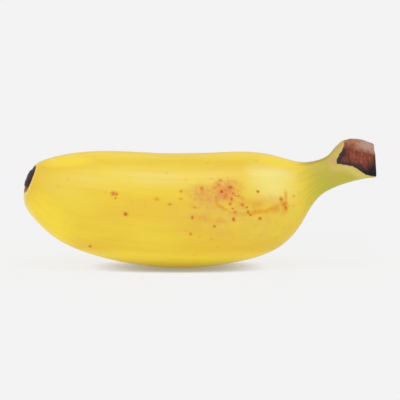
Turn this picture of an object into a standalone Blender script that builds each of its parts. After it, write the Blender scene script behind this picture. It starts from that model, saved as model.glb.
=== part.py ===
"""A baby banana lying on its belly, modelled as one solid.

The fruit grew as one piece, so it is one object: the five-sided body, the neck, the
crown stub that a knife has trimmed, and the dry blossom scar at the other end.

Frame: metres, +Z up. The origin is the middle of the flat spot that the fruit rests on,
+X runs towards the stem end, and Y is across the fruit. Sizes below are millimetres.
"""

import math
from typing import NamedTuple

import bmesh
import bpy
from mathutils import Vector

MM = 0.001

# The mesh: rings to each station of the fruit, and sides round it
RINGS_TO_A_STATION = 3
SIDES = 50
WELD = 0.001

# A cross-section is a rounded pentagon. These are the ways that its flat sides face, in
# degrees: 0 is to the front, 90 up, and 270 down to the table. The ridges lie between.
FLAT_SIDES = (39.0, 100.0, 185.0, 270.0, 352.0)


class Station(NamedTuple):
    """One section of the fruit, as a control point of the curves that run along it."""

    top: tuple  # x and z of the inner edge, which faces up
    bottom: tuple  # x and z of the outer edge, which faces down
    half_width: float  # across, to one side
    power: float  # how much of a pentagon it is: 3 is all but round
    sway: float = 0.0  # how far the section stands to the back
    turn: float = 0.0  # how much the section faces the front: the slope of its plane


# From the rim of the blossom scar, along the body and neck, to the cut end of the crown
BODY = (
    Station((-41.2, 29.0), (-44.4, 21.7), 4.0, 3.2, -1.0, 0.16),
    Station((-40.9, 29.5), (-44.6, 20.6), 5.1, 3.4, -0.9, 0.14),
    Station((-39.7, 30.3), (-44.6, 17.0), 7.2, 3.8, -0.8, 0.1),
    Station((-37.0, 31.3), (-41.2, 13.4), 9.9, 4.1, -0.5, 0.04),
    Station((-33.0, 32.3), (-36.7, 9.2), 12.3, 4.1, -0.2),
    Station((-27.8, 33.0), (-30.1, 5.2), 14.2, 4.0),
    Station((-21.0, 33.3), (-21.6, 2.5), 15.4, 3.8),
    Station((-12.6, 32.9), (-12.6, 0.7), 15.8, 3.7),
    Station((-3.0, 32.3), (-3.0, -0.4), 15.9, 3.7),
    Station((6.8, 32.5), (6.8, -0.3), 15.9, 3.7),
    Station((15.4, 32.9), (15.8, 1.1), 15.7, 3.8),
    Station((22.6, 33.0), (23.9, 3.0), 15.1, 3.9),
    Station((28.0, 32.0), (30.0, 5.8), 13.6, 4.1),
    Station((32.0, 30.8), (34.5, 10.2), 11.0, 4.5),
    Station((35.2, 30.0), (37.6, 15.9), 8.0, 5.0),
    Station((38.3, 30.1), (40.3, 20.1), 6.0, 5.4, 0.2),
    Station((41.2, 30.8), (43.9, 22.4), 5.0, 5.8, 0.4),
    Station((43.5, 31.8), (47.2, 23.7), 4.9, 5.8, 0.6),
    Station((45.3, 34.2), (50.4, 24.7), 6.2, 5.6, 0.8),
    Station((47.1, 36.1), (53.4, 25.5), 8.6, 5.0, 0.9),
    Station((50.2, 37.3), (56.2, 26.0), 10.2, 4.6, 0.9),
    Station((54.0, 37.8), (58.0, 26.4), 10.6, 4.4, 0.9),
    Station((57.8, 37.6), (59.2, 26.8), 10.6, 4.2, 0.9),
)

# The faces that close the two ends, from their rims in: the share of the rim's size, and
# how far out. The blossom scar has a button in a shallow groove. The crown's end is flat.
SCAR = ((0.9, 0.0), (0.79, -0.15), (0.71, 0.15), (0.65, 0.6), (0.52, 0.8), (0.27, 0.85), (0.0, 0.85))
CROWN_END = ((0.8, 0.0), (0.55, 0.0), (0.3, 0.0), (0.0, 0.0))

# The knife cuts that trim the crown: a point of each, and the way that it faces
CROWN_FROM = 42.0  # x of the neck that the cuts leave as it is
CUTS = (
    ((50.0, -3.9, 32.0), (0.08, -1.0, 0.46)),
    ((50.0, 5.4, 33.0), (0.2, 1.0, 0.24)),
    ((52.0, -2.6, 34.4), (0.285, -1.0, 1.1)),
    ((51.5, 1.0, 36.6), (-0.02, 0.05, 1.0)),
    ((52.9, 1.0, 36.6), (0.34, 0.1, 0.94)),
    ((56.8, 1.0, 31.0), (1.0, 0.0, 0.05)),
)
SOFT_EDGE = 0.25
FIBRE_DEPTH = 0.22
FIBRE_PITCHES = (2.3, 3.7)
FIBRE_FADE = 0.5  # how far beyond a cut the fibres reach their full depth

REST_PLANE = ((0.0, 0.0, 0.0), (0.0, 0.0, -1.0))

PEEL = {"colour": (0.86, 0.60, 0.055, 1.0), "roughness": 0.42, "metallic": 0.0}


def clear_scene():
    for old in list(bpy.data.objects):
        bpy.data.objects.remove(old)


def end_face(rim, profile, outward):
    """The sections of the face that closes an end, from its rim to its middle."""
    top, bottom = Vector(rim.top), Vector(rim.bottom)
    middle, up = (top + bottom) / 2, (top - bottom) / 2
    out = Vector((up.y, -up.x)).normalized() * outward
    for share, height in profile:
        at = middle + out * height
        yield rim._replace(
            top=at + up * share, bottom=at - up * share, half_width=rim.half_width * share
        )


def spline(points, t):
    """A uniform cubic B-spline through the control points, which starts and ends on them."""
    first = min(int(t), len(points) - 2)
    u = t - first
    weights = (
        (1 - u) ** 3 / 6,
        (3 * u**3 - 6 * u**2 + 4) / 6,
        (-3 * u**3 + 3 * u**2 + 3 * u + 1) / 6,
        u**3 / 6,
    )
    held = [2 * points[0] - points[1], *points, 2 * points[-1] - points[-2]]
    near = [weight * held[first + k] for k, weight in enumerate(weights)]
    return near[0] + near[1] + near[2] + near[3]


def pentagon(angle, power):
    """Distance from the middle of a rounded pentagon to its edge, at an angle."""
    turns = [angle - math.radians(side) for side in FLAT_SIDES]
    total = sum(max(0.0, math.cos(turn)) ** power for turn in turns)
    return total ** (-1 / power)


def section(power):
    """The points of a cross-section that just fills a square from -1 to 1."""
    angles = [2 * math.pi * side / SIDES for side in range(SIDES)]
    points = [
        Vector((math.cos(angle), math.sin(angle))) * pentagon(angle, power)
        for angle in angles
    ]
    low = Vector((min(p.x for p in points), min(p.y for p in points)))
    high = Vector((max(p.x for p in points), max(p.y for p in points)))
    middle, half = (low + high) / 2, (high - low) / 2
    return [Vector(((p.x - middle.x) / half.x, (p.y - middle.y) / half.y)) for p in points]


def trimmed(point):
    """A point of the crown, brought back to the knife cuts, with the fibres they bared."""
    for at, facing in CUTS:
        normal = Vector(facing).normalized()
        beyond = (point - Vector(at)).dot(normal)
        back = SOFT_EDGE * math.log1p(math.exp(beyond / SOFT_EDGE))
        across = (point.x + point.y) * 2 * math.pi
        fibres = sum(math.sin(across / pitch) for pitch in FIBRE_PITCHES)
        bared = 1 - math.exp(-back / FIBRE_FADE)
        point = point - normal * (back + FIBRE_DEPTH * bared * fibres / len(FIBRE_PITCHES))
    return point


def rings():
    """The rings of points that the fruit's surface runs through, from scar to crown."""
    stations = [
        *reversed(list(end_face(BODY[0], SCAR, -1))),
        *BODY,
        *end_face(BODY[-1], CROWN_END, 1),
    ]
    tops = [Vector(s.top) for s in stations]
    bottoms = [Vector(s.bottom) for s in stations]
    for ring in range(RINGS_TO_A_STATION * (len(stations) - 1) + 1):
        t = ring / RINGS_TO_A_STATION
        top, bottom = spline(tops, t), spline(bottoms, t)
        half_width = spline([s.half_width for s in stations], t)
        power = spline([s.power for s in stations], t)
        sway = spline([s.sway for s in stations], t)
        turn = spline([s.turn for s in stations], t)
        middle, up = (top + bottom) / 2, (top - bottom) / 2
        points = [
            Vector((
                middle.x + up.x * p.y + turn * half_width * p.x,
                sway - half_width * p.x,
                middle.y + up.y * p.y,
            ))
            for p in section(power)
        ]
        yield [trimmed(p) if p.x > CROWN_FROM else p for p in points]


def skin(mesh):
    """Rolls a flat grid up into the rings, welds its seam and closes its ends."""
    points = list(rings())
    grid = bmesh.ops.create_grid(mesh, x_segments=SIDES, y_segments=len(points) - 1, size=1.0)
    for vert in grid["verts"]:
        side = round((vert.co.x + 1) / 2 * SIDES) % SIDES
        ring = round((vert.co.y + 1) / 2 * (len(points) - 1))
        vert.co = points[ring][side]
    bmesh.ops.remove_doubles(mesh, verts=mesh.verts, dist=WELD)


def cut(mesh, point, facing):
    """Takes off all that lies beyond a plane, and closes the cut with a flat face."""
    bmesh.ops.bisect_plane(
        mesh,
        geom=[*mesh.verts, *mesh.edges, *mesh.faces],
        dist=WELD,
        plane_co=Vector(point),
        plane_no=Vector(facing),
        clear_outer=True,
    )
    bmesh.ops.holes_fill(mesh, edges=[e for e in mesh.edges if e.is_boundary])


def peel_material():
    material = bpy.data.materials.new("peel")
    material.use_nodes = True
    shader = material.node_tree.nodes["Principled BSDF"]
    shader.inputs["Base Color"].default_value = PEEL["colour"]
    shader.inputs["Roughness"].default_value = PEEL["roughness"]
    shader.inputs["Metallic"].default_value = PEEL["metallic"]
    return material


def banana():
    mesh = bmesh.new()
    skin(mesh)
    cut(mesh, *REST_PLANE)
    bmesh.ops.recalc_face_normals(mesh, faces=mesh.faces)
    bmesh.ops.scale(mesh, vec=(MM, MM, MM), verts=mesh.verts)
    data = bpy.data.meshes.new("banana")
    mesh.to_mesh(data)
    mesh.free()
    data.materials.append(peel_material())
    data.shade_smooth()
    fruit = bpy.data.objects.new("banana", data)
    bpy.context.scene.collection.objects.link(fruit)
    fruit.data.set_sharp_from_angle(angle=math.radians(35))
    return fruit


def main():
    clear_scene()
    banana()


main()
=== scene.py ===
"""Studio scene of a baby banana that lies on its belly.

The solid model gives the form. Here its one node is replaced by a finer skin of the same
form, with the freckled peel, the dried and trimmed crown, and the blossom scar.
Shapes are worked out in millimetres, and the finished pieces are in metres.
"""

import math
from typing import NamedTuple

import bmesh
import bpy
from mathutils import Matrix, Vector, noise


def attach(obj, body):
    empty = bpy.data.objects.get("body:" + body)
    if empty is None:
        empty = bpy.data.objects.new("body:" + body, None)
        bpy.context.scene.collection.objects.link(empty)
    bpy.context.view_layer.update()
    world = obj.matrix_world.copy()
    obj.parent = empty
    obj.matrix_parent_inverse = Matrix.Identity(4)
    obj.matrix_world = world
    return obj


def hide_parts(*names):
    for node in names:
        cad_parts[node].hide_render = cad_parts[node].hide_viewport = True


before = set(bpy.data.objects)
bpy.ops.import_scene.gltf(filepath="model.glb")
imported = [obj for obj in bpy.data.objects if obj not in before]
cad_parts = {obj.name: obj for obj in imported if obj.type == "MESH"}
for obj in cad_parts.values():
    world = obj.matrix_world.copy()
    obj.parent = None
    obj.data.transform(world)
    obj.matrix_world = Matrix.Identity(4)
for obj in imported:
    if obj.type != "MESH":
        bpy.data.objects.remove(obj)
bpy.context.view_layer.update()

bl_info = {
    "name": "Baby banana",
    "version": (1, 0, 0),
    "blender": (4, 5, 0),
    "location": "3D View > Sidebar > Baby banana",
    "description": "Models a ripe baby banana with its peel, crown and blossom scar",
    "category": "Add Mesh",
}

MM = 0.001
WELD = 0.001

# A cross-section is a rounded pentagon. These are the ways that its flat sides face, in
# degrees: 0 is to the front, 90 up, and 270 down to the table. The ridges lie between.
FLAT_SIDES = (39.0, 100.0, 185.0, 270.0, 352.0)


class Station(NamedTuple):
    """One section of the fruit, as a control point of the curves that run along it."""

    top: tuple  # x and z of the inner edge, which faces up
    bottom: tuple  # x and z of the outer edge, which faces down
    half_width: float  # across, to one side
    power: float  # how much of a pentagon it is: 3 is all but round
    sway: float = 0.0  # how far the section stands to the back
    turn: float = 0.0  # how much the section faces the front: the slope of its plane


# From the rim of the blossom scar, along the body and neck, to the cut end of the crown
BODY = (
    Station((-41.2, 29.0), (-44.4, 21.7), 4.0, 3.2, -1.0, 0.16),
    Station((-40.9, 29.5), (-44.6, 20.6), 5.1, 3.4, -0.9, 0.14),
    Station((-39.7, 30.3), (-44.6, 17.0), 7.2, 3.8, -0.8, 0.1),
    Station((-37.0, 31.3), (-41.2, 13.4), 9.9, 4.1, -0.5, 0.04),
    Station((-33.0, 32.3), (-36.7, 9.2), 12.3, 4.1, -0.2),
    Station((-27.8, 33.0), (-30.1, 5.2), 14.2, 4.0),
    Station((-21.0, 33.3), (-21.6, 2.5), 15.4, 3.8),
    Station((-12.6, 32.9), (-12.6, 0.7), 15.8, 3.7),
    Station((-3.0, 32.3), (-3.0, -0.4), 15.9, 3.7),
    Station((6.8, 32.5), (6.8, -0.3), 15.9, 3.7),
    Station((15.4, 32.9), (15.8, 1.1), 15.7, 3.8),
    Station((22.6, 33.0), (23.9, 3.0), 15.1, 3.9),
    Station((28.0, 32.0), (30.0, 5.8), 13.6, 4.1),
    Station((32.0, 30.8), (34.5, 10.2), 11.0, 4.5),
    Station((35.2, 30.0), (37.6, 15.9), 8.0, 5.0),
    Station((38.3, 30.1), (40.3, 20.1), 6.0, 5.4, 0.2),
    Station((41.2, 30.8), (43.9, 22.4), 5.0, 5.8, 0.4),
    Station((43.5, 31.8), (47.2, 23.7), 4.9, 5.8, 0.6),
    Station((45.3, 34.2), (50.4, 24.7), 6.2, 5.6, 0.8),
    Station((47.1, 36.1), (53.4, 25.5), 8.6, 5.0, 0.9),
    Station((50.2, 37.3), (56.2, 26.0), 10.2, 4.6, 0.9),
    Station((54.0, 37.8), (58.0, 26.4), 10.6, 4.4, 0.9),
    Station((57.8, 37.6), (59.2, 26.8), 10.6, 4.2, 0.9),
)

# The faces that close the two ends, from their rims in: the share of the rim's size, and
# how far out. The blossom scar has a button in a shallow groove. The crown's end is flat.
SCAR = (
    (0.9, 0.0),
    (0.79, -0.15),
    (0.71, 0.15),
    (0.65, 0.6),
    (0.52, 0.8),
    (0.27, 0.85),
    (0.0, 0.85),
)
CROWN_END = ((0.8, 0.0), (0.55, 0.0), (0.3, 0.0), (0.0, 0.0))

# The knife cuts that trim the crown: a point of each, and the way that it faces
CROWN_FROM = 42.0  # x of the neck that the cuts leave as it is
CUTS = (
    ((50.0, -3.9, 32.0), (0.08, -1.0, 0.46)),
    ((50.0, 5.4, 33.0), (0.2, 1.0, 0.24)),
    ((52.0, -2.6, 34.4), (0.285, -1.0, 1.1)),
    ((51.5, 1.0, 36.6), (-0.02, 0.05, 1.0)),
    ((52.9, 1.0, 36.6), (0.34, 0.1, 0.94)),
    ((56.8, 1.0, 31.0), (1.0, 0.0, 0.05)),
)
# Where the peel ends on the crown, as x and z: the dried tissue fills this outline
PEEL_EDGE = (
    (48.3, 45.0),
    (48.2, 36.8),
    (47.9, 34.8),
    (47.0, 33.2),
    (45.8, 31.4),
    (45.8, 30.1),
    (48.0, 29.9),
    (50.2, 29.4),
    (51.4, 28.9),
    (53.7, 27.3),
    (55.0, 26.8),
    (57.2, 26.5),
    (70.0, 26.2),
    (70.0, 45.0),
)
SOFT_EDGE = 0.25
FIBRE_DEPTH = 0.22
FIBRE_PITCHES = (2.3, 3.7)
FIBRE_FADE = 0.5  # how far beyond a cut the fibres reach their full depth
ROD = 14.0  # half the thickness that the fruit has where patterns are laid out straight

# Marks on the front of the peel: x and z of the middle, half sizes along and up, tilt in
# degrees, and depth of colour. The deepest have a dark core, the faintest only a pale halo.
SPECKS = (
    (-18.4, 22.6, 0.6, 0.55, 0, 0.75),
    (-17.5, 22.4, 0.5, 0.5, 0, 0.7),
    (-17.7, 21.3, 0.3, 0.25, 0, 0.7),
    (-14.8, 16.9, 0.55, 0.5, 0, 0.85),
    (-25.1, 7.2, 0.45, 0.4, 0, 0.8),
    (1.0, 23.2, 0.4, 0.35, 0, 0.7),
    (0.9, 21.1, 0.6, 0.4, 0, 0.5),
    (6.9, 24.0, 0.55, 0.5, 0, 0.7),
    (12.2, 26.1, 0.5, 0.45, 0, 0.65),
    (11.7, 25.0, 1.1, 0.7, -20, 0.55),
    (11.2, 24.6, 0.5, 0.4, -30, 0.5),
    (12.6, 23.1, 0.5, 0.5, 0, 1.0),
    (12.5, 22.8, 1.2, 1.0, 0, 0.5),
    (10.7, 24.1, 0.5, 0.55, 0, 0.6),
    (13.5, 23.5, 0.5, 0.45, 0, 0.65),
    (15.0, 24.3, 0.75, 0.5, 0, 0.85),
    (14.4, 23.5, 1.4, 1.0, 10, 0.5),
    (14.4, 25.3, 0.35, 0.8, 0, 0.5),
    (13.8, 22.4, 0.6, 0.7, 15, 0.65),
    (15.8, 22.6, 0.4, 0.35, -30, 0.85),
    (16.5, 22.0, 0.35, 0.3, 0, 0.65),
    (17.4, 21.9, 0.35, 0.35, 0, 0.65),
    (15.4, 21.1, 0.45, 0.5, 0, 0.8),
    (15.0, 19.7, 0.4, 0.4, 0, 0.75),
    (13.6, 21.8, 0.8, 0.8, 0, 0.6),
    (15.7, 18.4, 0.35, 0.3, 0, 0.75),
    (16.4, 17.4, 0.65, 0.45, 0, 0.6),
    (18.5, 19.4, 0.4, 0.6, 40, 0.7),
    (19.8, 18.7, 0.3, 0.3, 0, 0.8),
    (18.4, 21.3, 0.7, 0.5, 0, 0.4),
    (20.2, 17.4, 0.35, 0.5, 20, 0.8),
    (20.8, 16.6, 0.45, 0.3, -20, 0.85),
    (22.9, 23.1, 0.34, 0.3, 0, 1.0),
    (29.6, 20.8, 0.4, 0.6, 30, 0.85),
    (30.5, 19.3, 0.8, 0.8, 0, 0.65),
    (31.0, 18.3, 0.4, 0.6, 15, 0.9),
    (33.2, 21.4, 0.35, 0.35, 0, 0.6),
    (16.0, 15.4, 0.32, 0.55, 10, 1.0),
    (23.5, 15.5, 0.45, 0.45, 40, 0.85),
    (4.2, 15.9, 0.32, 0.5, 0, 0.85),
    (4.9, 18.7, 0.8, 0.3, -15, 0.55),
    (10.5, 13.4, 0.4, 0.35, 0, 0.75),
    (3.7, 11.2, 0.4, 0.4, 0, 0.65),
    (6.3, 10.4, 0.35, 0.3, 0, 0.4),
    (9.7, 9.6, 0.5, 0.3, 0, 0.4),
    (34.9, 27.4, 0.9, 0.5, -20, 0.35),
    (-2.2, 19.6, 0.6, 0.35, 0, 0.65),
    (-5.9, 21.0, 0.7, 0.5, 0, 0.45),
    (-3.3, 28.1, 0.5, 0.3, 0, 0.4),
)
# Soft bruises, given in the same way
BRUISES = (
    (8.0, 21.9, 4.8, 2.7, -8, 0.75),
    (13.6, 23.3, 3.9, 2.7, 15, 1.0),
)
NEWEST = (13.5, -14.6, 23.5)  # x, y and z of the middle of the newest bruise
AGEING = (4.5, 7.5)  # how far from there the freckles go from new to old
AGEING_RAGGED = 4  # how much further off, in places, that may begin
# Amber stains, where older bruises have dried
STAINS = (
    (10.9, 20.7, 0.45, 1.4, 12, 1.1),
    (12.9, 18.6, 0.45, 2.3, 58, 1.1),
    (24.8, 17.7, 6.0, 0.75, 8, 1.0),
    (28.4, 18.3, 2.2, 1.3, 10, 0.9),
    (30.3, 18.7, 1.3, 1.9, 15, 1.0),
    (30.9, 21.6, 0.45, 1.6, 4, 0.9),
    (17.6, 20.2, 3.4, 2.0, 0, 0.5),
    (23.5, 19.8, 5.0, 1.9, 5, 0.6),
    (9.5, 15.5, 5.4, 1.4, -8, 0.55),
)
# Where the peel is dull and tanned round the bruises
DULL = (
    (8.4, 22.0, 4.6, 2.5, -8, 1.15),
    (15.0, 16.5, 13.0, 6.5, -8, 0.85),
    (25.0, 14.5, 9.0, 5.5, 0, 0.75),
)
# Painted sheen: paler places, mostly along the upper front facet where light glances off it, and
# a painted highlight on the right shoulder of the body
PAINTED_SHEEN = (
    (-10.0, 26.6, 31.0, 2.7, 0, 1.15),
    (29.2, 26.4, 7.6, 4.9, -4, 2.0),
    (33.0, 23.0, 5.0, 8.0, -10, 1.0),
    (-35.0, 25.0, 9.0, 5.0, -15, 0.7),
    (24.0, 11.0, 8.0, 4.0, 20, 0.35),
)
# Painted fill light: the peel is made yellower and brighter low on the left end, and along the
# underside and top
PAINTED_FILL_LIGHT = (
    (-38.0, 13.0, 8.0, 6.0, -40, 1.3),
    (-4.0, 1.5, 28.0, 4.0, 0, 1.6),
    (-32.0, 31.5, 8.0, 1.6, 5, 1.2),
    (29.0, 31.5, 6.0, 1.6, -10, 1.3),
    (-3.0, 33.4, 38.0, 1.8, 0, 1.1),
)
# Painted rim light: a pale band down the lower left outline, under the blossom scar
PAINTED_RIM_LIGHT = ((-46.1, 14.5, 7.0, 3.0, -58, 3.0),)
# Where the scar's cork shows most
CORK = ((-44.2, 21.6, 0.9, 1.2, 0, 1.2),)
# Where the peel has dried back a little from the crown
DRIED_BACK = (
    (44.9, 30.9, 1.3, 1.4, 0, 1.1),
    (46.6, 34.4, 0.6, 1.9, -25, 0.9),
)
MARK_REACH = 16.0  # how deep into the fruit a mark on its front reaches
BELLY, UNDER, NECK, END = 16.0, 8.0, 5.0, 4.0  # how far to the front parts of the fruit lie

# Sizes of the skin's patterns, in millimetres: along, across and up where there are three
BLOTCH = (30, 12, 9)  # riper and less ripe places
STRAND = (45, 1.2, 1.2)
STREAK = (14, 3, 3)  # on the green neck
PORE = (1.6, 0.7, 0.7)
FIBRE = (0.7, 0.7, 8)  # in the cut tissue
PATCH = (2.2, 2.2, 3.2)  # darker and paler cut tissue
WAX_SMEAR = 3
DOT_NET = 4.2  # from one faint dot to the next
FRECKLE_NET = 5.0  # from one place for a freckle of the far side to the next
VEIN_NET = 2.6  # between the veins of a bruise
CLOUD = 2.5  # uneven depth of the stains
MOTTLE = 1.1  # uneven depth of the bruises
FRAY, FRAYED_BY = 0.6, 0.7  # the ragged outline of a mark
EDGE_FRAY = 0.8  # the ragged edges of the peel
CRUST = 0.9  # lumps of the scar's crust
# Heights of the patterns that are too fine for the mesh
STRAND_HEIGHT, PORE_HEIGHT, FRECKLE_DIP = 0.06, 0.02, 0.03
FIBRE_HEIGHT, CRUST_HEIGHT = 0.3, 0.25

# Where the colours change, from one place to another. Along is the distance from the middle
# of the scar, and bared the distance past the edge of the peel.
THIN_ALONG = (6.4, 5.0)  # the peel thins towards the scar
GREEN_ALONG, GREEN_RAGGED = (93.5, 104.5), 9  # the neck turns green
LIME_Z = (27, 21)  # and lime towards its underside
SUNNED_ROD_Z = (11.8, 13.7)  # and brown on its upper side, by the height on the straight rod
FRINGE_BARED = (-3.5, -0.8)  # and paler just before the crown
CUT_EDGE_BARED = (-0.8, -0.2)  # the thin pale line of the cut peel
FAR_SIDE_Y = (-6, 0)  # from the front's own freckles to the far side's
UPPER_SLOPE = 0.32  # how steeply the line where the upper cut begins falls to the right
UPPER_Z, UPPER_RAGGED = (50.6, 53.2), 1.6  # the paler tissue over that line
DRIEST_X = (50.5, 54)  # and its driest corner
MARGIN_BARED, MARGIN_RAGGED = (0.9, -0.8), 2.6  # the margin has shrunk
MARGIN_Z = (51.5, 49.5)  # but only under that line
CORNER = (22.78, 28.33)  # the rotted lower corner, by how much x is more than z
CORK_ALONG, CORK_RAGGED = (4.5, 5.0), 1.2  # the corky rim round the crust
TISSUE_BARED, TISSUE_RAGGED = (0.2, 0.42), 0.7  # where peel gives way to cut tissue
DEAD_ALONG, DEAD_RAGGED = (5.1, 4.6), 0.5  # and to the scar's dead tissue

# The fine surface that the mesh itself has
RIDGE_TURN = 0.84  # cosine of the turn from a flat side at which a ridge is full
SLOW_WAVE, SMALL_WAVE, SMALL_SHARE = 9.0, 3.4, 0.35
WAVES_Z, WAVES_ALONG = (0.2, 3.0), (5.0, 12.0)  # the waves begin off the table and the scar
TORN_WIDTH, TORN_LENGTHS, TORN_FINER, TORN_LEAN = 0.5, 8, 2.1, 0.15
TORN_BARED = (0.0, 0.6)  # the torn fibres rise from the peel's edge on
LIP_BARED, LIP_SPREAD, LIP_HEIGHT = -0.35, 0.08, 0.12  # the raised lip of the peel
CRUST_ALONG, CRUST_LUMP = (3.2, 4.2), 0.7


def hex_colour(code):
    """The linear colour, with its alpha, of an sRGB hex code."""
    parts = [int(code[i : i + 2], 16) / 255 for i in (1, 3, 5)]
    linear = [p / 12.92 if p <= 0.04045 else ((p + 0.055) / 1.055) ** 2.4 for p in parts]
    return (*linear, 1.0)


def length_property(label, about, value):
    return bpy.props.FloatProperty(
        name=label, description=about, default=value * MM, unit="LENGTH", precision=5
    )


def colour_property(label, about, code):
    return bpy.props.FloatVectorProperty(
        name=label,
        description=about,
        default=hex_colour(code),
        subtype="COLOR",
        size=4,
        min=0.0,
        max=1.0,
    )


class BananaPeel(bpy.types.PropertyGroup):
    """The live, waxy peel of the body and neck."""

    sides: bpy.props.IntProperty(
        name="Sides", description="Faces round the fruit", default=270, min=50
    )
    rings: bpy.props.IntProperty(
        name="Rings", description="Rings of faces to each station", default=11, min=3
    )
    waves: length_property("Waves", "Height of the slow waves of the peel", 0.1)
    ripe: colour_property("Ripe", "Colour of the ripe peel", "#f1d23a")
    deep: colour_property("Deep", "Colour of the ridges and riper places", "#e8bb30")
    green: colour_property("Green", "Colour of the neck, which ripens last", "#c4b444")
    lime: colour_property("Lime", "Colour of the neck where it is least ripe", "#bdbb3a")
    # Painted sheen: the pale colour of the painted highlight and sheen on the upper front facet
    pale: colour_property("Pale", "Colour of the side that has had the least sun", "#f4e688")
    # Painted fill light: the brighter yellow laid on the left end, the underside and the top
    bright: colour_property("Bright", "Colour of the yellowest peel", "#fbdc3c")
    # The fringe colour also paints the rim light down the lower left outline
    fringe: colour_property("Fringe", "Colour of the thin peel at both ends", "#fbeea0")
    bruise: colour_property("Bruise", "Colour of soft bruises", "#e0904a")
    amber: colour_property("Amber", "Colour of older bruises that have dried", "#e29414")
    dull: colour_property("Dull", "Colour of the tanned peel round the bruises", "#d8ac5c")
    sunned: colour_property("Sunned", "Colour of the neck's upper side", "#a8821a")
    freckle: colour_property("Freckle", "Colour of fresh sugar freckles", "#d2541e")
    brown: colour_property("Brown", "Colour of older freckles", "#bc740c")
    core: colour_property("Core", "Colour of the cores of the darkest freckles", "#702a0e")


class BananaCrown(bpy.types.PropertyGroup):
    """The crown that a knife has trimmed and the air has dried."""

    fibre_depth: length_property("Fibre depth", "Depth of the torn fibres", 0.08)
    wood: colour_property("Wood", "Colour of the dried cut tissue", "#86402c")
    tan: colour_property("Tan", "Colour of the paler tissue near the top", "#b27755")
    bleached: colour_property("Bleached", "Colour of the driest corner", "#b9988d")
    margin: colour_property("Margin", "Colour of the shrunken margin", "#3b272a")
    black: colour_property("Black", "Colour of the rotted lower corner", "#120d0f")
    rim: colour_property("Rim", "Colour of the peel's cut edge", "#d0a46e")


class BananaScar(bpy.types.PropertyGroup):
    """The dry scar that the blossom has left."""

    crust_depth: length_property("Crust depth", "Height of the crust", 0.12)
    crust: colour_property("Crust", "Colour of the crust", "#472c31")
    crack: colour_property("Crack", "Colour of the cracks in the crust", "#161314")
    rim: colour_property("Rim", "Colour of the corky rim", "#b36a2a")


class BananaStage(bpy.types.PropertyGroup):
    """The floor, the light and the camera."""

    floor: colour_property("Floor", "How much light the paper gives back", "#5a5a5a")
    glow: bpy.props.FloatProperty(
        name="Glow", description="Light that comes up through the paper", default=0.795
    )
    # Painted shadow: the colour that the paper's glow takes where the fruit lies closest
    shade: colour_property("Shade", "How far the fruit dims the paper that it lies on", "#a69877")
    reach: length_property("Reach", "How near the fruit dims the paper", 6.0)
    distance: bpy.props.FloatProperty(
        name="Distance", description="From the camera to the fruit", default=0.9, unit="LENGTH"
    )
    elevation: bpy.props.FloatProperty(
        name="Elevation",
        description="How far the camera looks down",
        default=math.radians(7.0),
        subtype="ANGLE",
    )


def eased(value, low, high):
    """From 0 to 1 as the value goes from low to high, with eased ends."""
    share = min(1.0, max(0.0, (value - low) / (high - low)))
    return share * share * (3 - 2 * share)


def end_face(rim, profile, outward):
    """The sections of the face that closes an end, from its rim to its middle."""
    top, bottom = Vector(rim.top), Vector(rim.bottom)
    middle, up = (top + bottom) / 2, (top - bottom) / 2
    out = Vector((up.y, -up.x)).normalized() * outward
    for share, height in profile:
        at = middle + out * height
        yield rim._replace(
            top=at + up * share, bottom=at - up * share, half_width=rim.half_width * share
        )


def spline(points, t):
    """A uniform cubic B-spline through the control points, which starts and ends on them."""
    first = min(int(t), len(points) - 2)
    u = t - first
    weights = (
        (1 - u) ** 3 / 6,
        (3 * u**3 - 6 * u**2 + 4) / 6,
        (-3 * u**3 + 3 * u**2 + 3 * u + 1) / 6,
        u**3 / 6,
    )
    held = [2 * points[0] - points[1], *points, 2 * points[-1] - points[-2]]
    near = [weight * held[first + k] for k, weight in enumerate(weights)]
    return near[0] + near[1] + near[2] + near[3]


def pentagon(angle, power):
    """Distance from the middle of a rounded pentagon to its edge, at an angle."""
    turns = [angle - math.radians(side) for side in FLAT_SIDES]
    total = sum(max(0.0, math.cos(turn)) ** power for turn in turns)
    return total ** (-1 / power)


def section(power, sides):
    """The points of a cross-section that just fills a square from -1 to 1."""
    angles = [2 * math.pi * side / sides for side in range(sides)]
    points = [
        Vector((math.cos(angle), math.sin(angle))) * pentagon(angle, power)
        for angle in angles
    ]
    low = Vector((min(p.x for p in points), min(p.y for p in points)))
    high = Vector((max(p.x for p in points), max(p.y for p in points)))
    middle, half = (low + high) / 2, (high - low) / 2
    return [Vector(((p.x - middle.x) / half.x, (p.y - middle.y) / half.y)) for p in points]


def past_edge(point):
    """How far a point lies past the edge of the peel, and less than zero on the peel."""
    at, inside, nearest = Vector((point.x, point.z)), False, math.inf
    for here, there in zip(PEEL_EDGE, PEEL_EDGE[1:] + PEEL_EDGE[:1]):
        a, b = Vector(here), Vector(there)
        share = min(1.0, max(0.0, (at - a).dot(b - a) / (b - a).length_squared))
        nearest = min(nearest, (at - a.lerp(b, share)).length)
        if (a.y > at.y) != (b.y > at.y) and at.x < a.x + (b.x - a.x) * (at.y - a.y) / (b.y - a.y):
            inside = not inside
    return nearest if inside else -nearest


def trimmed(point):
    """A point of the crown, brought back to the knife cuts, with the fibres they bared."""
    for at, facing in CUTS:
        normal = Vector(facing).normalized()
        beyond = (point - Vector(at)).dot(normal)
        back = SOFT_EDGE * math.log1p(math.exp(beyond / SOFT_EDGE))
        across = (point.x + point.y) * 2 * math.pi
        fibres = sum(math.sin(across / pitch) for pitch in FIBRE_PITCHES)
        bared = 1 - math.exp(-back / FIBRE_FADE)
        point = point - normal * (back + FIBRE_DEPTH * bared * fibres / len(FIBRE_PITCHES))
    return point


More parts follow.
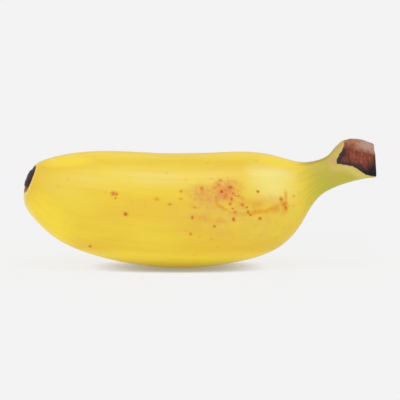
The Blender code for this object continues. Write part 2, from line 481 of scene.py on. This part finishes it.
def ridge(angle):
    """How near an angle is to a ridge: 0 in the middle of a flat side, 1 on a ridge."""
    turns = [angle - math.radians(side) for side in FLAT_SIDES]
    return eased(max(math.cos(turn) for turn in turns), 1.0, RIDGE_TURN)


class Skin(NamedTuple):
    """What is known of a point of the fruit's surface."""

    at: Vector
    along: float  # distance from the middle of the blossom scar
    bared: float  # distance past the edge of the peel, on to the dried crown
    ridge: float  # 0 in the middle of a flat side, 1 on a ridge
    straight: Vector  # where it would be if the fruit were a straight rod


def rings(sides, to_a_station):
    """The rings of points that the fruit's surface runs through, from scar to crown."""
    stations = [
        *reversed(list(end_face(BODY[0], SCAR, -1))),
        *BODY,
        *end_face(BODY[-1], CROWN_END, 1),
    ]
    tops = [Vector(s.top) for s in stations]
    bottoms = [Vector(s.bottom) for s in stations]
    along, last = 0.0, None
    for ring in range(to_a_station * (len(stations) - 1) + 1):
        t = ring / to_a_station
        top, bottom = spline(tops, t), spline(bottoms, t)
        half_width = spline([s.half_width for s in stations], t)
        power = spline([s.power for s in stations], t)
        sway = spline([s.sway for s in stations], t)
        turn = spline([s.turn for s in stations], t)
        middle, up = (top + bottom) / 2, (top - bottom) / 2
        here = (middle, up.length)
        if last:
            along += math.hypot((middle - last[0]).length, up.length - last[1])
        last = here
        found = []
        for side, p in enumerate(section(power, sides)):
            at = Vector((
                middle.x + up.x * p.y + turn * half_width * p.x,
                sway - half_width * p.x,
                middle.y + up.y * p.y,
            ))
            at = trimmed(at) if at.x > CROWN_FROM else at
            bared = past_edge(at) if at.x > CROWN_FROM else -CROWN_FROM
            angle = 2 * math.pi * side / sides
            straight = Vector((along, ROD * math.cos(angle), ROD * math.sin(angle)))
            found.append(Skin(at, along, bared, ridge(angle), straight))
        yield found


def add(tree, kind, inputs, output=0, **settings):
    """Adds a node with its settings, sets or links its inputs, and gives one output."""
    node = tree.nodes.new("ShaderNode" + kind)
    for name, value in settings.items():
        setattr(node, name, value)
    for key, value in inputs.items() if isinstance(inputs, dict) else enumerate(inputs):
        if isinstance(value, bpy.types.NodeSocket):
            tree.links.new(value, node.inputs[key])
        else:
            node.inputs[key].default_value = value
    return node.outputs[output]


# Sockets of a Mix node, for colours and for values, and settings that many nodes share
FACTOR, FIRST, SECOND, MIXED = 0, 6, 7, 2
FIRST_VALUE, SECOND_VALUE = 2, 3
COLOURS = {"data_type": "RGBA"}
SMOOTH = {"interpolation_type": "SMOOTHSTEP"}


def metres(sizes):
    """Sizes that are given in millimetres, in metres."""
    return [size * MM for size in sizes]


def per_mm(sizes):
    """Scales that make a pattern's lumps as big as the sizes, which are millimetres."""
    return [1 / (size * MM) for size in sizes]


def marks(tree, place, table, front=BELLY):
    """How strongly the marks of a table show, each a soft-edged egg on the front."""
    shown = 0.0
    for x, z, along, up, tilt, depth in table:
        inputs = {
            "Vector": place,
            "Location": (x * MM, -front * MM, z * MM),
            "Rotation": (0.0, -math.radians(tilt), 0.0),
            "Scale": (2 * along * MM, MARK_REACH * MM, 2 * up * MM),
        }
        egg = add(tree, "Mapping", inputs, vector_type="TEXTURE")
        near = add(tree, "TexGradient", {0: egg}, 1, gradient_type="SPHERICAL")
        strong = add(tree, "Math", (near, depth), operation="MULTIPLY")
        shown = add(tree, "Math", (strong, shown), operation="MAXIMUM")
    return shown


class Finish(NamedTuple):
    """What a kind of surface gives the shader."""

    colour: bpy.types.NodeSocket
    roughness: bpy.types.NodeSocket
    height: bpy.types.NodeSocket  # in metres


def peel_colour(tree, place, straight, ridge, look):
    """Ripe yellow, deeper on the ridges and in slow blotches, with strands that run along."""
    drawn = add(tree, "Mapping", {"Vector": place, "Scale": per_mm(BLOTCH)})
    blotches = add(tree, "TexNoise", {"Vector": drawn, "Scale": 1.0, "Detail": 3.0})
    tone = add(tree, "MapRange", (blotches, 0.38, 0.68, 0.0, 0.55), **SMOOTH)
    worn = add(tree, "MapRange", (ridge, 0.6, 1.0, 0.0, 0.2), **SMOOTH)
    tone = add(tree, "Math", (tone, worn), operation="ADD")
    inputs = {FACTOR: tone, FIRST: look.ripe, SECOND: look.deep}
    colour = add(tree, "Mix", inputs, MIXED, **COLOURS)
    # Painted sheen and highlight on the upper front facet, in the pale colour
    pale = add(tree, "Math", (marks(tree, place, PAINTED_SHEEN), blotches), operation="MULTIPLY")
    pale = add(tree, "MapRange", (pale, 0.05, 0.9), **SMOOTH)
    inputs = {FACTOR: pale, FIRST: colour, SECOND: look.pale}
    colour = add(tree, "Mix", inputs, MIXED, **COLOURS)
    # Painted fill light on the left end, the underside and the top
    bright = add(tree, "MapRange", (marks(tree, place, PAINTED_FILL_LIGHT, UNDER), 0.2, 0.9), **SMOOTH)
    inputs = {FACTOR: bright, FIRST: colour, SECOND: look.bright}
    colour = add(tree, "Mix", inputs, MIXED, **COLOURS)
    # Strands of the peel, about a millimetre apart and 45 mm long
    drawn = add(tree, "Mapping", {"Vector": straight, "Scale": per_mm(STRAND)})
    strands = add(tree, "TexNoise", {"Vector": drawn, "Scale": 1.0, "Detail": 4.0})
    streak = add(tree, "MapRange", (strands, 0.5, 0.75, 0.0, 0.22), **SMOOTH)
    inputs = {FACTOR: streak, FIRST: colour, SECOND: look.deep}
    colour = add(tree, "Mix", inputs, MIXED, **COLOURS)
    # Faint dots all over, where freckles will come as the fruit ripens
    net = add(tree, "TexVoronoi", {"Vector": place, "Scale": 1 / (DOT_NET * MM)})
    dots = add(tree, "MapRange", (net, 0.2, 0.06, 0.0, 0.12), **SMOOTH)
    inputs = {FACTOR: dots, FIRST: colour, SECOND: look.brown}
    return add(tree, "Mix", inputs, MIXED, **COLOURS), strands


def unripe_neck(tree, place, straight, along, bared, colour, look):
    """The neck ripens last: olive, streaked, and lime towards its underside."""
    drawn = add(tree, "Mapping", {"Vector": straight, "Scale": per_mm(STREAK)})
    streaks = add(tree, "TexNoise", {"Vector": drawn, "Scale": 1.0, "Detail": 4.0})
    ragged = add(tree, "Math", (streaks, GREEN_RAGGED * MM, along), operation="MULTIPLY_ADD")
    green = add(tree, "MapRange", (ragged, *metres(GREEN_ALONG)), **SMOOTH)
    height = add(tree, "SeparateXYZ", {0: place}, "Z")
    low = add(tree, "MapRange", (height, *metres(LIME_Z)), **SMOOTH)
    inputs = {FACTOR: low, FIRST: look.green, SECOND: look.lime}
    unripe = add(tree, "Mix", inputs, MIXED, **COLOURS)
    inputs = {FACTOR: green, FIRST: colour, SECOND: unripe}
    colour = add(tree, "Mix", inputs, MIXED, **COLOURS)
    faint = add(tree, "MapRange", (streaks, 0.5, 0.75, 0.0, 0.35), **SMOOTH)
    faint = add(tree, "Math", (faint, green), operation="MULTIPLY")
    inputs = {FACTOR: faint, FIRST: colour, SECOND: look.lime}
    colour = add(tree, "Mix", inputs, MIXED, **COLOURS)
    # The sun has browned its upper side, and it pales where it nears the crown
    upper = add(tree, "SeparateXYZ", {0: straight}, "Z")
    upper = add(tree, "MapRange", (upper, *metres(SUNNED_ROD_Z), 0.0, 0.7), **SMOOTH)
    upper = add(tree, "Math", (upper, green), operation="MULTIPLY")
    inputs = {FACTOR: upper, FIRST: colour, SECOND: look.sunned}
    colour = add(tree, "Mix", inputs, MIXED, **COLOURS)
    near = add(tree, "MapRange", (bared, *metres(FRINGE_BARED), 0.0, 0.2), **SMOOTH)
    inputs = {FACTOR: near, FIRST: colour, SECOND: look.fringe}
    return add(tree, "Mix", inputs, MIXED, **COLOURS)


def sugar_marks(tree, place, colour, look):
    """Dull peel, stains and veined bruises, then freckles that are darker inwards."""
    cloud = add(tree, "TexNoise", {"Vector": place, "Scale": 1 / (CLOUD * MM), "Detail": 4.0})
    ragged = add(tree, "TexNoise", {"Vector": place, "Scale": 1 / (FRAY * MM)}, "Color")
    shift = add(tree, "VectorMath", (ragged, (0.5, 0.5, 0.5)), operation="SUBTRACT")
    shift = add(tree, "VectorMath", {0: shift, "Scale": FRAYED_BY * MM}, operation="SCALE")
    warped = add(tree, "VectorMath", (place, shift))

    for table, share, layer in ((DULL, 0.45, look.dull), (STAINS, 0.8, look.amber)):
        zone = add(tree, "Math", (marks(tree, warped, table), cloud), operation="MULTIPLY")
        spread = add(tree, "MapRange", (zone, 0.05, 0.5, 0.0, share), **SMOOTH)
        inputs = {FACTOR: spread, FIRST: colour, SECOND: layer}
        colour = add(tree, "Mix", inputs, MIXED, **COLOURS)
    fine = add(tree, "TexNoise", {"Vector": place, "Scale": 1 / (MOTTLE * MM), "Detail": 2.0})
    fine = add(tree, "MapRange", (fine, 0.36, 0.64, 0.38, 0.68), **SMOOTH)
    zone = add(tree, "Math", (marks(tree, warped, BRUISES), fine), operation="MULTIPLY")
    bruised = add(tree, "MapRange", (zone, 0.05, 0.45, 0.0, 0.6), **SMOOTH)
    inputs = {FACTOR: bruised, FIRST: colour, SECOND: look.bruise}
    colour = add(tree, "Mix", inputs, MIXED, **COLOURS)
    cells = {"Vector": warped, "Scale": 1 / (VEIN_NET * MM)}
    veins = add(tree, "TexVoronoi", cells, feature="DISTANCE_TO_EDGE")
    veins = add(tree, "MapRange", (veins, 0.12, 0.0, 0.0, 0.25), **SMOOTH)
    veins = add(tree, "Math", (veins, bruised), operation="MULTIPLY")
    inputs = {FACTOR: veins, FIRST: colour, SECOND: look.freckle}
    colour = add(tree, "Mix", inputs, MIXED, **COLOURS)

    # Freckles on the far side: one in a few cells of a 5 mm net
    net = {"Vector": warped, "Scale": 1 / (FRECKLE_NET * MM)}
    chance = add(tree, "SeparateColor", {0: add(tree, "TexVoronoi", net, "Color")}, "Red")
    reach = add(tree, "MapRange", (chance, 0.75, 1.0, 0.0, 0.13))
    inside = add(tree, "Math", (reach, add(tree, "TexVoronoi", net)), operation="SUBTRACT")
    stray = add(tree, "MapRange", (inside, -0.04, 0.08, 0.0, 0.8), **SMOOTH)
    far = add(tree, "SeparateXYZ", {0: place}, "Y")
    far = add(tree, "MapRange", (far, *metres(FAR_SIDE_Y)), **SMOOTH)
    stray = add(tree, "Math", (stray, far), operation="MULTIPLY")
    strong = add(tree, "Math", (marks(tree, warped, SPECKS), stray), operation="MAXIMUM")
    # Away from the newest bruise the freckles are older, and have dried brown and amber
    away = add(tree, "VectorMath", (place, metres(NEWEST)), "Value", operation="DISTANCE")
    away = add(tree, "Math", (cloud, AGEING_RAGGED * MM, away), operation="MULTIPLY_ADD")
    older = add(tree, "MapRange", (away, *metres(AGEING), 0.05, 0.8), **SMOOTH)
    inputs = {FACTOR: older, FIRST: look.bruise, SECOND: look.amber}
    halo = add(tree, "Mix", inputs, MIXED, **COLOURS)
    inputs = {FACTOR: older, FIRST: look.freckle, SECOND: look.brown}
    spot = add(tree, "Mix", inputs, MIXED, **COLOURS)
    for low, high, share, layer in (
        (0.05, 0.45, 0.7, halo),
        (0.33, 0.68, 0.9, spot),
        (0.66, 0.95, 0.75, look.core),
    ):
        spread = add(tree, "MapRange", (strong, low, high, 0.0, share), **SMOOTH)
        inputs = {FACTOR: spread, FIRST: colour, SECOND: layer}
        colour = add(tree, "Mix", inputs, MIXED, **COLOURS)
    return colour, strong


def ripe_peel(tree, place, straight, along, bared, ridge, look):
    """Waxy cuticle over ripe yellow peel: satin, mottled, with sugar freckles."""
    colour, strands = peel_colour(tree, place, straight, ridge, look)
    colour = unripe_neck(tree, place, straight, along, bared, colour, look)
    colour, freckled = sugar_marks(tree, place, colour, look)
    thin = add(tree, "MapRange", (along, *metres(THIN_ALONG), 0.0, 0.3), **SMOOTH)
    # Painted rim light down the lower left outline, laid on in the fringe colour together with
    # the paler peel round the scar
    under = add(tree, "Math", (marks(tree, place, PAINTED_RIM_LIGHT, END), strands), operation="MULTIPLY")
    under = add(tree, "MapRange", (under, 0.04, 0.95, 0.0, 0.85), **SMOOTH)
    thin = add(tree, "Math", (thin, under), operation="MAXIMUM")
    inputs = {FACTOR: thin, FIRST: colour, SECOND: look.fringe}
    colour = add(tree, "Mix", inputs, MIXED, **COLOURS)

    wax = add(tree, "TexNoise", {"Vector": place, "Scale": 1 / (WAX_SMEAR * MM), "Detail": 3.0})
    roughness = add(tree, "MapRange", (wax, 0.3, 0.7, 0.34, 0.44), **SMOOTH)
    roughness = add(tree, "Math", (freckled, 0.15, roughness), operation="MULTIPLY_ADD")
    drawn = add(tree, "Mapping", {"Vector": straight, "Scale": per_mm(PORE)})
    pores = add(tree, "TexNoise", {"Vector": drawn, "Scale": 1.0, "Detail": 3.0})
    height = add(tree, "Math", (strands, STRAND_HEIGHT * MM), operation="MULTIPLY")
    height = add(tree, "Math", (pores, PORE_HEIGHT * MM, height), operation="MULTIPLY_ADD")
    height = add(tree, "Math", (freckled, -FRECKLE_DIP * MM, height), operation="MULTIPLY_ADD")
    return Finish(colour, roughness, height)


def dried_crown(tree, place, bared, look):
    """Cut crown tissue that has dried: matte and corky, with soft upright fibres."""
    drawn = add(tree, "Mapping", {"Vector": place, "Scale": per_mm(FIBRE)})
    fibres = add(tree, "TexNoise", {"Vector": drawn, "Scale": 1.0, "Detail": 3.0})
    drawn = add(tree, "Mapping", {"Vector": place, "Scale": per_mm(PATCH)})
    patches = add(tree, "TexNoise", {"Vector": drawn, "Scale": 1.0, "Detail": 3.0})
    x = add(tree, "SeparateXYZ", {0: place}, "X")
    z = add(tree, "SeparateXYZ", {0: place}, "Z")
    # How high a place lies over the line where the upper cut begins, which falls to the right
    above = add(tree, "Math", (x, UPPER_SLOPE, z), operation="MULTIPLY_ADD")
    above = add(tree, "Math", (patches, UPPER_RAGGED * MM, above), operation="MULTIPLY_ADD")

    upper = add(tree, "MapRange", (above, *metres(UPPER_Z)), **SMOOTH)
    inputs = {FACTOR: upper, FIRST: look.wood, SECOND: look.tan}
    colour = add(tree, "Mix", inputs, MIXED, **COLOURS)
    right = add(tree, "MapRange", (x, *metres(DRIEST_X), 0.0, 0.9), **SMOOTH)
    driest = add(tree, "Math", (upper, right), operation="MULTIPLY")
    inputs = {FACTOR: driest, FIRST: colour, SECOND: look.bleached}
    colour = add(tree, "Mix", inputs, MIXED, **COLOURS)
    pale = add(tree, "MapRange", (fibres, 0.5, 0.72, 0.0, 0.4), **SMOOTH)
    inputs = {FACTOR: pale, FIRST: colour, SECOND: look.tan}
    colour = add(tree, "Mix", inputs, MIXED, **COLOURS)
    dark = add(tree, "MapRange", (fibres, 0.5, 0.3, 0.0, 0.5), **SMOOTH)
    inputs = {FACTOR: dark, FIRST: colour, SECOND: look.margin}
    colour = add(tree, "Mix", inputs, MIXED, **COLOURS)

    # The margin shrinks and blackens, and most of all in the lower corner
    depth = add(tree, "Math", (patches, -MARGIN_RAGGED * MM, bared), operation="MULTIPLY_ADD")
    shrunk = add(tree, "MapRange", (depth, *metres(MARGIN_BARED), 0.0, 0.95), **SMOOTH)
    under = add(tree, "MapRange", (above, *metres(MARGIN_Z)), **SMOOTH)
    shrunk = add(tree, "Math", (shrunk, under), operation="MULTIPLY")
    inputs = {FACTOR: shrunk, FIRST: colour, SECOND: look.margin}
    colour = add(tree, "Mix", inputs, MIXED, **COLOURS)
    corner = add(tree, "Math", (x, z), operation="SUBTRACT")
    rotted = add(tree, "MapRange", (corner, *metres(CORNER)), **SMOOTH)
    inputs = {FACTOR: rotted, FIRST: colour, SECOND: look.black}
    colour = add(tree, "Mix", inputs, MIXED, **COLOURS)
    roughness = add(tree, "MapRange", (fibres, 0.3, 0.7, 0.85, 0.65), **SMOOTH)
    height = add(tree, "Math", (fibres, FIBRE_HEIGHT * MM), operation="MULTIPLY")
    return Finish(colour, roughness, height)


def cut_edge(tree, place, bared, look):
    """How far the peel's cut edge shows: a thin pale line, wider at the left corner."""
    dried = marks(tree, place, DRIED_BACK, NECK)
    line = add(tree, "MapRange", (bared, *metres(CUT_EDGE_BARED), 0.0, 0.4), **SMOOTH)
    patch = add(tree, "MapRange", (dried, 0.2, 0.8, 0.0, 0.6), **SMOOTH)
    return add(tree, "Math", (line, patch), operation="MAXIMUM")


def dried_scar(tree, place, along, look):
    """The scar's dead tissue: a black crust that has cracked, in a ring of brown cork."""
    crust = {"Vector": place, "Scale": 1 / (CRUST * MM), "Detail": 5.0, "Roughness": 0.6}
    crust = add(tree, "TexNoise", crust)
    cracks = add(tree, "MapRange", (crust, 0.52, 0.36, 0.0, 0.9), **SMOOTH)
    inputs = {FACTOR: cracks, FIRST: look.crust, SECOND: look.crack}
    colour = add(tree, "Mix", inputs, MIXED, **COLOURS)
    wide = add(tree, "Math", (crust, CORK_RAGGED * MM, along), operation="MULTIPLY_ADD")
    cork = add(tree, "MapRange", (wide, *metres(CORK_ALONG), 0.0, 0.6), **SMOOTH)
    low = add(tree, "Math", (marks(tree, place, CORK, END), crust), operation="MULTIPLY")
    low = add(tree, "MapRange", (low, 0.1, 0.5), **SMOOTH)
    cork = add(tree, "Math", (cork, low), operation="MAXIMUM")
    inputs = {FACTOR: cork, FIRST: colour, SECOND: look.rim}
    colour = add(tree, "Mix", inputs, MIXED, **COLOURS)
    roughness = add(tree, "MapRange", (crust, 0.3, 0.7, 0.5, 0.8), **SMOOTH)
    height = add(tree, "Math", (crust, CRUST_HEIGHT * MM), operation="MULTIPLY")
    return Finish(colour, roughness, height)


def over(tree, amount, under, finish):
    """One finish laid over another, as far as the amount says."""
    inputs = {FACTOR: amount, FIRST: under.colour, SECOND: finish.colour}
    colour = add(tree, "Mix", inputs, MIXED, **COLOURS)
    inputs = {FACTOR: amount, FIRST_VALUE: under.roughness, SECOND_VALUE: finish.roughness}
    roughness = add(tree, "Mix", inputs)
    inputs = {FACTOR: amount, FIRST_VALUE: under.height, SECOND_VALUE: finish.height}
    return Finish(colour, roughness, add(tree, "Mix", inputs))


def skin_material(peel, crown, scar):
    """Banana skin: live peel, with dead tissue at the scar and the cuts."""
    material = bpy.data.materials.new("banana skin")
    material.use_nodes = True
    tree = material.node_tree
    shader = tree.nodes["Principled BSDF"]
    place = add(tree, "TexCoord", {}, "Object")
    along = add(tree, "Attribute", {}, "Fac", attribute_name="along")
    bared = add(tree, "Attribute", {}, "Fac", attribute_name="bared")
    ridge = add(tree, "Attribute", {}, "Fac", attribute_name="ridge")
    straight = add(tree, "Attribute", {}, "Vector", attribute_name="straight")
    finish = ripe_peel(tree, place, straight, along, bared, ridge, peel)

    trim = cut_edge(tree, place, bared, crown)
    inputs = {FACTOR: trim, FIRST: finish.colour, SECOND: crown.rim}
    colour = add(tree, "Mix", inputs, MIXED, **COLOURS)
    finish = finish._replace(colour=colour)
    ragged = add(tree, "TexNoise", {"Vector": place, "Scale": 1 / (EDGE_FRAY * MM)})
    edge = add(tree, "Math", (ragged, TISSUE_RAGGED * MM, bared), operation="MULTIPLY_ADD")
    bare = add(tree, "MapRange", (edge, *metres(TISSUE_BARED)), **SMOOTH)
    finish = over(tree, bare, finish, dried_crown(tree, place, bared, crown))
    edge = add(tree, "Math", (ragged, DEAD_RAGGED * MM, along), operation="MULTIPLY_ADD")
    dead = add(tree, "MapRange", (edge, *metres(DEAD_ALONG)), **SMOOTH)
    finish = over(tree, dead, finish, dried_scar(tree, place, along, scar))

    tree.links.new(finish.colour, shader.inputs["Base Color"])
    tree.links.new(finish.roughness, shader.inputs["Roughness"])
    bump = add(tree, "Bump", {"Height": finish.height, "Distance": 1.0})
    tree.links.new(bump, shader.inputs["Normal"])
    # Wax over wet cells: light goes a little way in and comes out yellow
    shader.inputs["IOR"].default_value = 1.44
    shader.inputs["Specular IOR Level"].default_value = 0.35
    shader.inputs["Subsurface Weight"].default_value = 0.12
    shader.inputs["Subsurface Radius"].default_value = (1.0, 0.6, 0.12)
    shader.inputs["Subsurface Scale"].default_value = 1.5 * MM
    return material


def relief(at, along, bared, peel, crown, scar):
    """How far the fine surface stands proud of the form, in millimetres."""
    waves = noise.noise(at / SLOW_WAVE) + SMALL_SHARE * noise.noise(at / SMALL_WAVE)
    height = waves * peel.waves / MM * eased(at.z, *WAVES_Z) * eased(along, *WAVES_ALONG)
    if bared > 0.0:
        drawn = Vector((at.x - TORN_LEAN * at.z, at.y, at.z / TORN_LENGTHS)) / TORN_WIDTH
        torn = noise.noise(drawn) + 0.5 * noise.noise(drawn * TORN_FINER)
        height += torn * crown.fibre_depth / MM * eased(bared, *TORN_BARED)
    height += LIP_HEIGHT * math.exp(-((bared - LIP_BARED) ** 2) / LIP_SPREAD)
    crusted = 1 - eased(along, *CRUST_ALONG)
    height += crusted * scar.crust_depth / MM * noise.noise(at / CRUST_LUMP)
    return height


def new_object(name, mesh, material):
    data = bpy.data.meshes.new(name)
    mesh.to_mesh(data)
    mesh.free()
    data.materials.append(material)
    data.shade_smooth()
    made = bpy.data.objects.new(name, data)
    bpy.context.scene.collection.objects.link(made)
    return made


class BANANA_OT_skin(bpy.types.Operator):
    """Model the whole skin of the fruit, from the blossom scar to the cut crown"""

    bl_idname = "banana.skin"
    bl_label = "Banana Skin"

    def execute(self, context):
        scene = context.scene
        peel, crown, scar = scene.banana_peel, scene.banana_crown, scene.banana_scar
        found = list(rings(peel.sides, peel.rings))
        rows = len(found) - 1
        mesh = bmesh.new()
        uv = mesh.loops.layers.uv.new("OFBake")
        along = mesh.verts.layers.float.new("along")
        bared = mesh.verts.layers.float.new("bared")
        ridge = mesh.verts.layers.float.new("ridge")
        straight = mesh.verts.layers.float_vector.new("straight")
        grid = bmesh.ops.create_grid(mesh, x_segments=peel.sides, y_segments=rows, size=1.0)
        length = found[-1][0].along
        for face in mesh.faces:
            for loop in face.loops:
                side, ring = (loop.vert.co.x + 1) / 2, round((loop.vert.co.y + 1) / 2 * rows)
                loop[uv].uv = (side, found[ring][0].along / length)
        for vert in grid["verts"]:
            side = round((vert.co.x + 1) / 2 * peel.sides) % peel.sides
            skin = found[round((vert.co.y + 1) / 2 * rows)][side]
            vert.co = skin.at
            vert[along] = skin.along
            vert[bared] = skin.bared
            vert[ridge] = skin.ridge
            vert[straight] = skin.straight * MM
        bmesh.ops.remove_doubles(mesh, verts=mesh.verts, dist=WELD)
        bmesh.ops.recalc_face_normals(mesh, faces=mesh.faces)
        mesh.normal_update()
        heights = [relief(v.co, v[along], v[bared], peel, crown, scar) for v in mesh.verts]
        for vert, height in zip(mesh.verts, heights):
            vert.co += vert.normal * height
            vert.co.z = max(vert.co.z, 0.0)
            vert[along] *= MM
            vert[bared] *= MM
        bmesh.ops.scale(mesh, vec=(MM, MM, MM), verts=mesh.verts)
        fruit = new_object("skin", mesh, skin_material(peel, crown, scar))
        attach(fruit, "root")
        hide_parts("banana")
        return {"FINISHED"}


# The stage. The picture is 400 pixels wide and 0.29 mm to a pixel at the fruit.
PICTURE_WIDTH = 400 * 0.29 * MM
AIM = Vector((6.4, 0.0, 19.0)) * MM
PAPER_CLOUD = 40 * MM
FLOOR_RADIUS = 6.0  # in metres
FLOOR_SIDES = 96
# Soft boxes far off: the way that each lies, how wide it looks, and its strength
LIGHTS = {
    "key": ((0.1, -0.2, 0.97), math.radians(30), 0.6),
    "fill": ((-0.25, -0.97, 0.02), math.radians(60), 0.75),
}
ROOM_LIGHT = 0.72
# Painted contact shadow: ambient occlusion, sampled towards the back, dims the paper's glow near
# the fruit
FROM_BEHIND = (0.0, 0.97, 0.22)  # the way to the light that the fruit keeps off the paper
CLOSE_TO_CLEAR = (0.3, 0.85)  # how open the paper is where it is darkest and where it is clear
WHITE = (1.0, 1.0, 1.0, 1.0)
PAPER_GREY = (0.3, 0.3, 0.29, 1.0)


def paper_material(look):
    """Matt white paper on a light table, with a painted contact shadow: its glow is dimmed where
    the fruit lies close over it.
    """
    material = bpy.data.materials.new("white paper")
    material.use_nodes = True
    tree = material.node_tree
    shader = tree.nodes["Principled BSDF"]
    place = add(tree, "TexCoord", {}, "Object")
    cloud = add(tree, "TexNoise", {"Vector": place, "Scale": 1 / PAPER_CLOUD})
    faint = add(tree, "MapRange", (cloud, 0.3, 0.7, 0.0, 0.02), **SMOOTH)
    inputs = {FACTOR: faint, FIRST: look.floor, SECOND: PAPER_GREY}
    tree.links.new(add(tree, "Mix", inputs, MIXED, **COLOURS), shader.inputs["Base Color"])
    # Painted contact shadow in the paper's glow
    near = {"Distance": look.reach, "Normal": add(tree, "CombineXYZ", FROM_BEHIND)}
    clear = add(tree, "AmbientOcclusion", near, "AO")
    clear = add(tree, "MapRange", (clear, *CLOSE_TO_CLEAR), **SMOOTH)
    inputs = {FACTOR: clear, FIRST: look.shade, SECOND: WHITE}
    tree.links.new(add(tree, "Mix", inputs, MIXED, **COLOURS), shader.inputs["Emission Color"])
    shader.inputs["Emission Strength"].default_value = look.glow
    shader.inputs["Roughness"].default_value = 1.0
    shader.inputs["Specular IOR Level"].default_value = 0.0
    return material


class BANANA_OT_stage(bpy.types.Operator):
    """Set up the floor, the soft light and the camera"""

    bl_idname = "banana.stage"
    bl_label = "Banana Stage"

    def floor(self, look):
        mesh = bmesh.new()
        bmesh.ops.create_circle(
            mesh, cap_ends=True, segments=FLOOR_SIDES, radius=FLOOR_RADIUS
        )
        return new_object("floor", mesh, paper_material(look))

    def light(self, scene):
        for name, (way, width, strength) in LIGHTS.items():
            lamp = bpy.data.lights.new(name, "SUN")
            lamp.angle = width
            lamp.energy = strength
            box = bpy.data.objects.new(name, lamp)
            box.location = AIM + Vector(way)
            box.rotation_euler = Vector(way).to_track_quat("Z", "Y").to_euler()
            scene.collection.objects.link(box)
        world = bpy.data.worlds.new("white room")
        world.use_nodes = True
        background = world.node_tree.nodes["Background"]
        background.inputs["Strength"].default_value = ROOM_LIGHT
        background.inputs["Color"].default_value = WHITE
        scene.world = world

    def camera(self, scene, look):
        lens = bpy.data.cameras.new("camera")
        lens.lens = lens.sensor_width * look.distance / PICTURE_WIDTH
        camera = bpy.data.objects.new("camera", lens)
        down = look.elevation
        camera.location = AIM + Vector((0, -math.cos(down), math.sin(down))) * look.distance
        camera.rotation_euler = (math.radians(90) - down, 0, 0)
        scene.collection.objects.link(camera)
        scene.camera = camera

    def execute(self, context):
        scene = context.scene
        look = scene.banana_stage
        self.floor(look)
        self.light(scene)
        self.camera(scene, look)
        scene.view_settings.view_transform = "Standard"
        return {"FINISHED"}


class BANANA_PT_panel(bpy.types.Panel):
    """The fruit's operators and settings"""

    bl_idname = "BANANA_PT_panel"
    bl_label = "Baby Banana"
    bl_space_type = "VIEW_3D"
    bl_region_type = "UI"
    bl_category = "Baby banana"

    def draw(self, context):
        for operator, groups in PIECES.items():
            self.layout.operator(operator)
            for group in groups:
                for name in GROUPS[group].__annotations__:
                    self.layout.prop(getattr(context.scene, group), name)


PIECES = {
    "banana.skin": ("banana_peel", "banana_crown", "banana_scar"),
    "banana.stage": ("banana_stage",),
}
GROUPS = {
    "banana_peel": BananaPeel,
    "banana_crown": BananaCrown,
    "banana_scar": BananaScar,
    "banana_stage": BananaStage,
}
CLASSES = (*GROUPS.values(), BANANA_OT_skin, BANANA_OT_stage, BANANA_PT_panel)


def register():
    for cls in CLASSES:
        bpy.utils.register_class(cls)
    for name, group in GROUPS.items():
        setattr(bpy.types.Scene, name, bpy.props.PointerProperty(type=group))


def unregister():
    for name in GROUPS:
        delattr(bpy.types.Scene, name)
    for cls in reversed(CLASSES):
        bpy.utils.unregister_class(cls)


def main():
    register()
    bpy.ops.banana.skin()
    bpy.ops.banana.stage()


if __name__ == "__main__":
    main()
